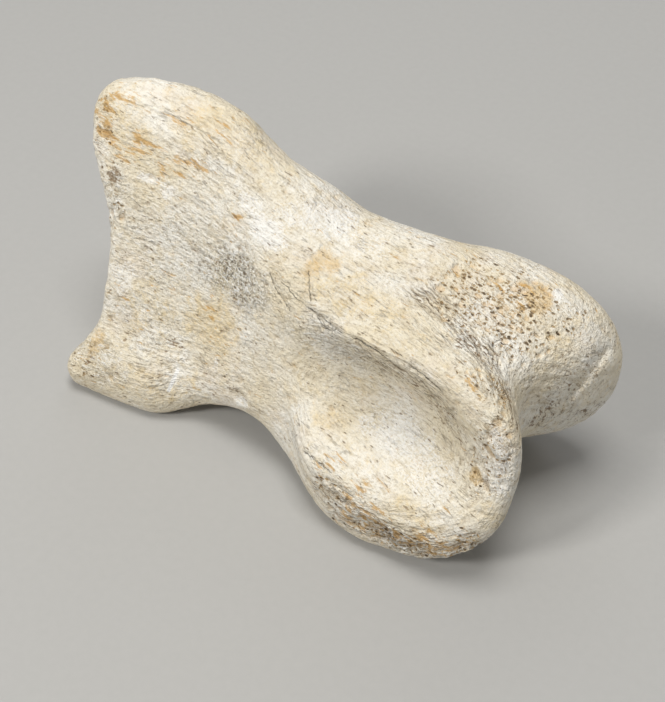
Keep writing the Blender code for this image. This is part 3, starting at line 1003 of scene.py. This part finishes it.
    def _pits(self, bench: Bench, place: bpy.types.NodeSocket) -> tuple[Flow, Flow]:
        """The crowded pits of the spongy places.

        Args:
            bench: the material's bench.
            place: the point on the object.

        Returns:
            0 on the surface and 1 inside a pit, and how far each point is on a pit's floor, which the finish
            paints dark as painted shade.
        """
        drawn_out = bench.scaled(bench.bent(place, 0.8, 0.7), (0.6, 1.0, 1.0))
        distance, own, tone = bench.cells(drawn_out, self.pit_scale)
        fine, fine_own, _ = bench.cells(drawn_out, self.fine_pit_scale)
        pitted = bench.mark("pitted").most(bench.mark("spongy") * 0.8)
        wanted = (own + pitted * 0.8).between(0.96, 1.04) * pitted.between(0.05, 0.2)
        ragged = distance - tone * 0.2 + (bench.cloud(place, 2.4, 1.0) - 0.5) * 0.7
        fine_wanted = (fine_own + pitted * 0.7).between(0.84, 0.98) * pitted.between(0.05, 0.2)
        pits = (ragged.between(0.38, 0.26) * wanted).most(fine.between(0.34, 0.18) * fine_wanted * 0.85)
        floors = ragged.between(0.3, 0.08) * wanted * (0.2 + 0.75 * tone)
        return pits.most(bench.mark("hollow").between(0.25, 0.9) * 0.55), floors

    def _bundles(self, bench: Bench, place: bpy.types.NodeSocket) -> Flow:
        """The close lines that run along the drawn bundles, broken and a little wavy.

        Args:
            bench: the material's bench.
            place: the point on the object.

        Returns:
            0 on the surface and 1 in a line.
        """
        wave = (bench.cloud(place, 0.28, 4.0, 0.6) - 0.5) * 3.6
        line = (bench.mark("bundle_side") + wave).folded(self.bundle_gap)
        broken = bench.cloud(bench.bent(bench.coordinates("grain"), 0.8, 1.0), 0.8, 3.0).between(0.4, 0.56)
        here = bench.mark("bundle_here") * (0.12 + 0.88 * bench.mark("fibrous_and_shade"))
        return line.between(0.2, 0.04) * (0.35 + 0.65 * broken) * here

    def _cracks(self, bench: Bench, place: bpy.types.NodeSocket) -> Flow:
        """The drawn cracks, with a fainter twin at each side, and a net of hairlines along the fibres.

        Args:
            bench: the material's bench.
            place: the point on the object.

        Returns:
            0 on the surface and 1 in a crack.
        """
        wobble = (bench.cloud(place, 0.9, 4.0, 0.7) - 0.5) * 1.3
        width = 0.45 + 0.55 * bench.cloud(place, 1.1, 3.0).between(0.38, 0.6)
        side = bench.mark("crack_side")
        twins = abs(abs(side + wobble * 1.5) - self.twin_gap).between(0.13, 0.04)
        twins = twins * bench.cloud(place, 0.8, 2.0).between(0.45, 0.6) * 0.6
        drawn = abs(side + wobble).between(0.15, 0.05).most(twins) * bench.mark("crack_here") * width
        net = bench.net(bench.bent(bench.coordinates("grain"), 0.6, 2.4), self.hairline_scale)
        broken = bench.cloud(place, 0.35, 3.0).between(0.52, 0.62)
        return drawn.most(net.between(0.035, 0.01) * broken * 0.4)


@dataclass(frozen=True)
class FloorFinish:
    """Plain pale studio board."""

    board: Colour = field(default_factory=lambda: ink(178, 177, 174))
    tint: Colour = field(default_factory=lambda: ink(173, 172, 169))
    tooth_scale: float = 0.6
    roughness: float = 0.9

    def material(self) -> bpy.types.Material:
        """Builds the material.

        Returns:
            The material.
        """
        bench = Bench("studio_board")
        tooth = bench.cloud(bench.place(), self.tooth_scale, 3.0)
        bench.feed(bench.shader.inputs["Base Color"], bench.mix(tooth, self.board, self.tint))
        bench.shader.inputs["Roughness"].default_value = self.roughness
        return bench.material


@dataclass
class Phalanx:
    """The finger bone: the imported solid's shape, refined, with the relief that it carries."""

    finish: FossilFinish = field(default_factory=FossilFinish)

    # Merging and refining the solid's loose triangles
    merge_reach: float = 0.005
    join_angle: float = 0.7
    join_shape: float = 0.9
    refinements: int = 2

    # The lie of the fibres: the shaft's middle and half sizes along X, and the ring round the wide hollow
    along: tuple[float, ...] = (-52.0, -30.0, 0.0, 22.0, 52.0)
    middle_y: tuple[float, ...] = (4.0, 3.5, 2.0, 0.5, -8.5)
    middle_z: tuple[float, ...] = (27.0, 27.0, 26.0, 24.0, 23.0)
    half_y: tuple[float, ...] = (25.0, 24.0, 17.5, 21.0, 23.0)
    half_z: tuple[float, ...] = (32.0, 29.0, 21.0, 22.5, 23.0)
    grain_half: Span = (21.0, 22.5)
    grain_stretch: float = 0.14
    hollow_middle: Span = (21.0, 24.0)
    hollow_half: Span = (27.0, 16.0)
    ring_width: float = 20.0
    ring_turn: float = 3.0
    ring_inner: Span = (0.3, 0.65)
    ring_outer: Span = (1.45, 2.0)
    ring_start: Span = (-6.0, 8.0)
    ring_top: Span = (0.6, 0.92)

    # The painted marks
    mark_lump: float = 4.0
    mark_seed: float = 7.3
    mark_ragged: float = 0.4
    mark_fade: Span = (0.45, 1.35)

    # The relief: patterns, and depths in millimetres
    swells: Lumps = Lumps(8.0, 3, 3.1)
    swell_depth: float = 0.3
    ridges: Lumps = Lumps(1.5, 2, 11.7)
    ridge_depth: float = 0.16
    grooves: Lumps = Lumps(2.6, 2, 4.4)
    groove_width: float = 0.22
    groove_depth: float = 0.4
    crumbs: Lumps = Lumps(1.3, 2, 6.6)
    crumb_depth: float = 0.22
    rows: Lumps = Lumps(1.1, 2, 8.8)
    row_depth: float = 0.6
    row_shade: Span = (0.48, 0.75)
    edges: Lumps = Lumps(3.4, 2, 14.2)
    edge_depth: float = 0.45
    edge_x: Span = (-14.0, -4.0)
    edge_z: Span = (44.0, 52.0)
    bends: tuple[Lumps, ...] = (Lumps(1.5, 1, 1.3), Lumps(1.5, 1, 5.9), Lumps(1.5, 1, 8.2))
    bend_reach: float = 0.5
    pits: Cells = Cells(1.45, 2.2)
    pit_stretch: Place = (0.62, 1.0, 1.0)
    pit_depth: float = 0.5
    sponge: Cells = Cells(2.3, 9.4)
    sponge_depth: float = 0.75
    sponge_shade: float = 0.7
    crease_half: float = 0.35
    crease_depth: float = 0.55
    crease_fade: float = 5.0
    crack_depth: float = 0.3
    crack_width: Span = (0.1, 0.7)
    folds: Lumps = Lumps(5.0, 2, 21.3)
    fold_wander: float = 1.2
    fold_width: float = 1.7
    fold_depth: float = 0.22
    fold_least: float = 0.25
    chip: Place = (-8.8, -15.2, 12.6)
    chip_stretch: Place = (1.6, 1.0, 1.0)
    chip_reach: Span = (0.76, 1.9)
    chip_depth: float = 0.7
    lift: float = 0.2
    foot: Span = (0.05, 1.2)

    # How far beside the drawn lines the finish finds them, and how they end
    line_reach: float = 1.2
    bundle_reach: float = 3.2
    line_core: float = 0.6
    line_ends: Span = (0.12, 0.88)
    relief_ends: Span = (0.15, 0.85)
    crease_ends: Span = (0.2, 0.85)

    def build(self, solid: bpy.types.Object) -> bpy.types.Object:
        """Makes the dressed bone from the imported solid.

        Args:
            solid: the CAD node, which stays as it is.

        Returns:
            The dressed bone.
        """
        low, high = (np.array(corner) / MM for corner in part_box(solid.name))
        piece = self._refined(solid)
        points, normals = self._points(piece.data)
        fibres = self._fibres(points, normals)
        marks = {mark: self._painted(points, mark) for mark in Mark}
        kinds = (Seam, Scar, Bundle, Crease)
        lines = {line: beside_line(points, normals, line.value) for kind in kinds for line in kind}
        depth, hollow = self._relief(points, fibres, marks, lines)
        carved = np.clip(points - normals * depth[:, None], low, high)
        piece.data.vertices.foreach_set("co", (carved * MM).astype(np.float32).ravel())
        piece.data.update()
        numbers = {mark.value: values for mark, values in marks.items()}
        # hollow is where the finish paints shade into the carved pits, holes and rows.
        numbers.update({"hollow": hollow, "ring_here": fibres.share})
        numbers.update(self._drawn("crack", [lines[seam] for seam in Seam], self.line_reach))
        numbers.update(self._drawn("scar", [lines[scar] for scar in Scar], self.line_reach))
        numbers.update(self._drawn("bundle", [lines[bundle] for bundle in Bundle], self.bundle_reach))
        self._keep(piece.data, numbers, {"grain": fibres.shaft, "ring": fibres.ring})
        piece.data.materials.clear()
        piece.data.materials.append(self.finish.material())
        piece.data.shade_smooth()
        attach(piece, "root")
        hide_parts(solid.name)
        return piece

    def _refined(self, solid: bpy.types.Object) -> bpy.types.Object:
        """A merged and smoothly subdivided copy of the solid.

        Args:
            solid: the CAD node.

        Returns:
            A new object at the origin.
        """
        work = bmesh.new()
        work.from_mesh(solid.data)
        bmesh.ops.remove_doubles(work, verts=work.verts[:], dist=self.merge_reach * MM)
        bmesh.ops.join_triangles(
            work,
            faces=work.faces[:],
            angle_face_threshold=self.join_angle,
            angle_shape_threshold=self.join_shape,
        )
        bmesh.ops.recalc_face_normals(work, faces=work.faces[:])
        coarse = bpy.data.meshes.new("bone_coarse")
        work.to_mesh(coarse)
        work.free()
        piece = bpy.data.objects.new("fossil_bone_skin", coarse)
        bpy.context.scene.collection.objects.link(piece)
        smoother = piece.modifiers.new("refine", "SUBSURF")
        smoother.levels = self.refinements
        smoother.render_levels = self.refinements
        bpy.context.view_layer.update()
        seen = piece.evaluated_get(bpy.context.evaluated_depsgraph_get())
        fine = bpy.data.meshes.new_from_object(seen)
        fine.name = "fossil_bone_skin"
        piece.modifiers.clear()
        piece.data = fine
        bpy.data.meshes.remove(coarse)
        return piece

    def _points(self, mesh: bpy.types.Mesh) -> tuple[np.ndarray, np.ndarray]:
        """The mesh's points in millimetres, and which way the surface faces at each.

        Args:
            mesh: the mesh.

        Returns:
            The points and the normals.
        """
        points = np.zeros(len(mesh.vertices) * 3, np.float32)
        normals = np.zeros(len(mesh.vertices) * 3, np.float32)
        mesh.vertices.foreach_get("co", points)
        mesh.vertices.foreach_get("normal", normals)
        return points.reshape(-1, 3).astype(float) / MM, normals.reshape(-1, 3).astype(float)

    def _fibres(self, points: np.ndarray, normals: np.ndarray) -> Fibres:
        """The lie of the fibres: along the shaft, drawn together at its waist, and round the wide hollow.

        Args:
            points: the points, in millimetres.
            normals: which way the surface faces at each.

        Returns:
            Both sets of coordinates, in millimetres across the fibres.
        """
        x, y, z = points.T
        across = (y - np.interp(x, self.along, self.middle_y)) / np.interp(x, self.along, self.half_y)
        up = (z - np.interp(x, self.along, self.middle_z)) / np.interp(x, self.along, self.half_z)
        half_y, half_z = self.grain_half
        shaft = np.stack([x * self.grain_stretch, across * half_y, up * half_z], axis=1)
        ahead = (x - self.hollow_middle[0]) / self.hollow_half[0]
        above = (z - self.hollow_middle[1]) / self.hollow_half[1]
        reach = np.hypot(ahead, above)
        turn = np.arctan2(above, ahead)
        ring = np.stack([
            self.ring_turn * np.cos(turn) + self.grain_stretch * y,
            self.ring_width * reach,
            self.ring_turn * np.sin(turn),
        ], axis=1)
        share = soft_step(reach, *self.ring_inner) * (1 - soft_step(reach, *self.ring_outer))
        share = share * soft_step(x, *self.ring_start) * (1 - soft_step(normals[:, 2], *self.ring_top))
        return Fibres(shaft, ring, share)

    def _painted(self, points: np.ndarray, mark: Mark) -> np.ndarray:
        """How strong one mark is at each point.

        Args:
            points: the points, in millimetres.
            mark: which mark.

        Returns:
            Numbers from 0 to 1.
        """
        seed = self.mark_seed * (1 + list(Mark).index(mark))
        ragged = Lumps(self.mark_lump, 3, seed).at(points) * self.mark_ragged
        painted = np.zeros(len(points))
        for patch in PATCHES[mark]:
            away = np.linalg.norm((points - patch.place) / np.array(patch.reach), axis=1) + ragged
            painted = np.maximum(painted, patch.strength * (1 - soft_step(away, *self.mark_fade)))
        return painted

    def _relief(
        self, points: np.ndarray, fibres: Fibres, marks: dict[Mark, np.ndarray], lines: dict[Enum, Beside]
    ) -> tuple[np.ndarray, np.ndarray]:
        """How far each point is carved in.

        Args:
            points: the points, in millimetres.
            fibres: the lie of the fibres.
            marks: the painted marks.
            lines: where each point lies beside the drawn lines.

        Returns:
            Depths in millimetres, less than 0 where the skin stands out, and how far each point is inside a
            pit, hole or spongy row, from 0 to 1, where the finish paints shade and ochre.
        """
        spongy = marks[Mark.SPONGY]
        rows = 0.5 + 0.5 * fibres.drawn(self.rows.at)
        pits, holes, steep = self._cut(points, marks)
        depth = self._texture(points, fibres, marks) + self.row_depth * rows * spongy
        depth += self.pit_depth * pits + self.sponge_depth * holes * steep
        depth += self._drawn_depth(points, marks, lines)
        inside = np.maximum(pits, self.sponge_shade * holes)
        inside = np.maximum(inside, soft_step(rows, *self.row_shade) * spongy)
        return (np.maximum(depth, 0) - self.lift) * soft_step(points[:, 2], *self.foot), inside

    def _texture(self, points: np.ndarray, fibres: Fibres, marks: dict[Mark, np.ndarray]) -> np.ndarray:
        """The relief that is all over: swells, fibre ridges and grooves, crumbs, and lumps along the rims.

        Args:
            points: the points, in millimetres.
            fibres: the lie of the fibres.
            marks: the painted marks.

        Returns:
            The depth at each point, in millimetres.
        """
        grey, spongy, fibrous_and_shade = marks[Mark.GREY], marks[Mark.SPONGY], marks[Mark.FIBROUS_AND_SHADE]
        depth = self.swell_depth * (0.5 + 0.5 * self.swells.at(points))
        ridges = 0.5 + 0.5 * fibres.drawn(self.ridges.at)
        depth += self.ridge_depth * ridges * (0.6 + fibrous_and_shade)
        grooves = fibres.drawn(lambda lie: soft_step(np.abs(self.grooves.at(lie)), self.groove_width, 0.0))
        depth += self.groove_depth * grooves * fibrous_and_shade
        crumbs = 0.5 + 0.5 * self.crumbs.at(points)
        depth += self.crumb_depth * crumbs * (0.5 + 0.8 * grey + 1.6 * spongy)
        edge = soft_step(points[:, 2], *self.edge_z) * (1 - soft_step(points[:, 0], *self.edge_x))
        edges = 0.5 + 0.5 * self.edges.at(points)
        return depth + self.edge_depth * edges * np.maximum(edge, spongy)

    def _cut(
        self, points: np.ndarray, marks: dict[Mark, np.ndarray]
    ) -> tuple[np.ndarray, np.ndarray, np.ndarray]:
        """The pits of the pitted swelling and the wider holes of the spongy rims.

        Args:
            points: the points, in millimetres.
            marks: the painted marks.

        Returns:
            How far each point is inside a pit and inside a hole, from 0 to 1, and how deep its hole is.
        """
        bent = points + self.bend_reach * np.stack([bend.at(points) for bend in self.bends], axis=1)
        distance, own = self.pits.at(bent * np.array(self.pit_stretch))
        wanted = soft_step(own + 0.75 * marks[Mark.PITTED], 0.9, 1.05)
        pits = wanted * (1 - soft_step(distance, 0.2 + 0.12 * own, 0.42 + 0.12 * own))
        distance, own = self.sponge.at(bent)
        spongy = marks[Mark.SPONGY]
        wanted = soft_step(own + 0.8 * spongy, 0.75, 1.0) * soft_step(spongy, 0.0, 0.3)
        return pits, wanted * (1 - soft_step(distance, 0.15, 0.55)), 0.4 + 0.6 * own

    def _drawn_depth(
        self, points: np.ndarray, marks: dict[Mark, np.ndarray], lines: dict[Enum, Beside]
    ) -> np.ndarray:
        """The drawn relief: the step across the far knuckle, cracks, bundles of fibres and a chip.

        Args:
            points: the points, in millimetres.
            marks: the painted marks.
            lines: where each point lies beside the drawn lines.

        Returns:
            The depth at each point, in millimetres.
        """
        step = lines[Crease.FAR_KNUCKLE]
        below = soft_step(-step.side, -self.crease_half, self.crease_half)
        below = below * (1 - soft_step(-step.side, self.crease_half, self.crease_fade))
        depth = self.crease_depth * below * step.faded(self.crease_ends)
        for seam in Seam:
            crack = lines[seam]
            depth += self.crack_depth * crack.faded(self.relief_ends) * crack.near(*self.crack_width)
        wander = self.fold_wander * self.folds.at(points)
        strength = self.fold_least + (1 - self.fold_least) * marks[Mark.FIBROUS_AND_SHADE]
        for bundle in Bundle:
            band = lines[bundle]
            fade = band.faded(self.relief_ends) * band.near(0.5 * self.bundle_reach, self.bundle_reach)
            folds = 0.5 + 0.5 * np.sin(2 * np.pi * (band.side + wander) / self.fold_width)
            depth += self.fold_depth * fade * folds * strength
        from_chip = np.linalg.norm((points - self.chip) / np.array(self.chip_stretch), axis=1)
        return depth + self.chip_depth * (1 - soft_step(from_chip, *self.chip_reach))

    def _drawn(self, name: str, lines: list[Beside], reach: float) -> dict[str, np.ndarray]:
        """Where each point lies beside the nearest line of a set, for the finish.

        Args:
            name: what the set is called.
            lines: where each point lies beside each line.
            reach: how far beside them they are there, in millimetres.

        Returns:
            Two numbers for each point: its distance beside the line, and how much of the line is there.
        """
        nearest = np.full(len(lines[0].side), np.inf)
        beside = np.zeros(len(nearest))
        here = np.zeros(len(nearest))
        for line in lines:
            nearer = np.abs(line.side) < nearest
            close = line.faded(self.line_ends) * line.near(self.line_core * reach, reach)
            beside = np.where(nearer, line.side, beside)
            here = np.where(nearer, close, here)
            nearest = np.where(nearer, np.abs(line.side), nearest)
        return {f"{name}_side": np.clip(beside, -LINE_LIMIT, LINE_LIMIT), f"{name}_here": here}

    def _keep(
        self, mesh: bpy.types.Mesh, numbers: dict[str, np.ndarray], vectors: dict[str, np.ndarray]
    ) -> None:
        """Stores numbers and coordinates on the mesh's points, for the finish to read.

        Args:
            mesh: the mesh.
            numbers: a number for each point, by name.
            vectors: a vector for each point, by name.
        """
        for name, values in numbers.items():
            layer = mesh.attributes.new(name, "FLOAT", "POINT")
            layer.data.foreach_set("value", values.astype(np.float32))
        for name, values in vectors.items():
            layer = mesh.attributes.new(name, "FLOAT_VECTOR", "POINT")
            layer.data.foreach_set("vector", values.astype(np.float32).ravel())


@dataclass(frozen=True)
class Lamp:
    """One soft lamp of the studio."""

    name: str
    place: Place
    size: float
    power: float
    tint: tuple[float, float, float] = (1.0, 1.0, 1.0)


@dataclass
class Studio:
    """The floor, the lamps and the camera."""

    finish: FloorFinish = field(default_factory=FloorFinish)
    floor_half: float = 3000.0
    lamps: tuple[Lamp, ...] = (
        Lamp("top_lamp", (60.0, -40.0, 900.0), 360.0, 4.3, (1.0, 0.99, 0.97)),
        Lamp("key_lamp", (-230.0, -620.0, 600.0), 170.0, 3.7, (1.0, 0.985, 0.96)),
        Lamp("back_lamp", (-200.0, 560.0, 480.0), 400.0, 0.7, (0.97, 0.985, 1.0)),
    )
    aim: Place = (0.0, 0.0, 20.0)
    sky: float = 0.28
    camera_place: Place = (111.15, -167.34, 217.96)
    camera_right: Place = (0.83867, 0.54464, 0.0)
    camera_up: Place = (-0.38512, 0.59303, 0.70711)
    camera_near: float = 10.0
    lens: float = 76.92

    def build(self) -> None:
        """Makes the floor, lamps, sky and camera."""
        self._floor()
        for lamp in self.lamps:
            self._lamp(lamp)
        self._sky()
        self._camera()

    def _floor(self) -> None:
        """A wide plain board under the bone."""
        work = bmesh.new()
        bmesh.ops.create_grid(work, x_segments=1, y_segments=1, size=self.floor_half * MM)
        mesh = bpy.data.meshes.new("studio_floor")
        work.to_mesh(mesh)
        work.free()
        floor = bpy.data.objects.new("studio_floor", mesh)
        floor.data.materials.append(self.finish.material())
        bpy.context.scene.collection.objects.link(floor)

    def _lamp(self, lamp: Lamp) -> None:
        """A square soft lamp turned to the bone.

        Args:
            lamp: its place, size and power.
        """
        light = bpy.data.lights.new(lamp.name, "AREA")
        light.size = lamp.size * MM
        light.energy = lamp.power
        light.color = lamp.tint
        holder = bpy.data.objects.new(lamp.name, light)
        holder.location = Vector(lamp.place) * MM
        holder.rotation_euler = (Vector(self.aim) - Vector(lamp.place)).to_track_quat("-Z", "Y").to_euler()
        bpy.context.scene.collection.objects.link(holder)

    def _sky(self) -> None:
        """An even light from all round."""
        world = bpy.data.worlds.new("studio")
        world.use_nodes = True
        background = world.node_tree.nodes["Background"]
        background.inputs["Color"].default_value = (1.0, 1.0, 1.0, 1.0)
        background.inputs["Strength"].default_value = self.sky
        bpy.context.scene.world = world
        bpy.context.scene.view_settings.view_transform = "Standard"

    def _camera(self) -> None:
        """The camera where the photograph was taken from."""
        data = bpy.data.cameras.new("camera")
        data.lens = self.lens
        data.clip_start = self.camera_near * MM
        camera = bpy.data.objects.new("camera", data)
        right = Vector(self.camera_right)
        up = Vector(self.camera_up)
        turned = Matrix((right, up, right.cross(up))).transposed().to_4x4()
        camera.matrix_world = Matrix.Translation(Vector(self.camera_place) * MM) @ turned
        bpy.context.scene.collection.objects.link(camera)
        bpy.context.scene.camera = camera


def main() -> None:
    """Builds the bone and the studio in order."""
    logging.basicConfig(level=logging.INFO, format="%(name)s: %(message)s")
    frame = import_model()
    bone = Phalanx().build(frame["nodes"]["phalanx"])
    LOG.info("%s: %d faces", bone.name, len(bone.data.polygons))
    Studio().build()
    LOG.info("studio: floor, lamps and camera")


if __name__ == "__main__":
    main()
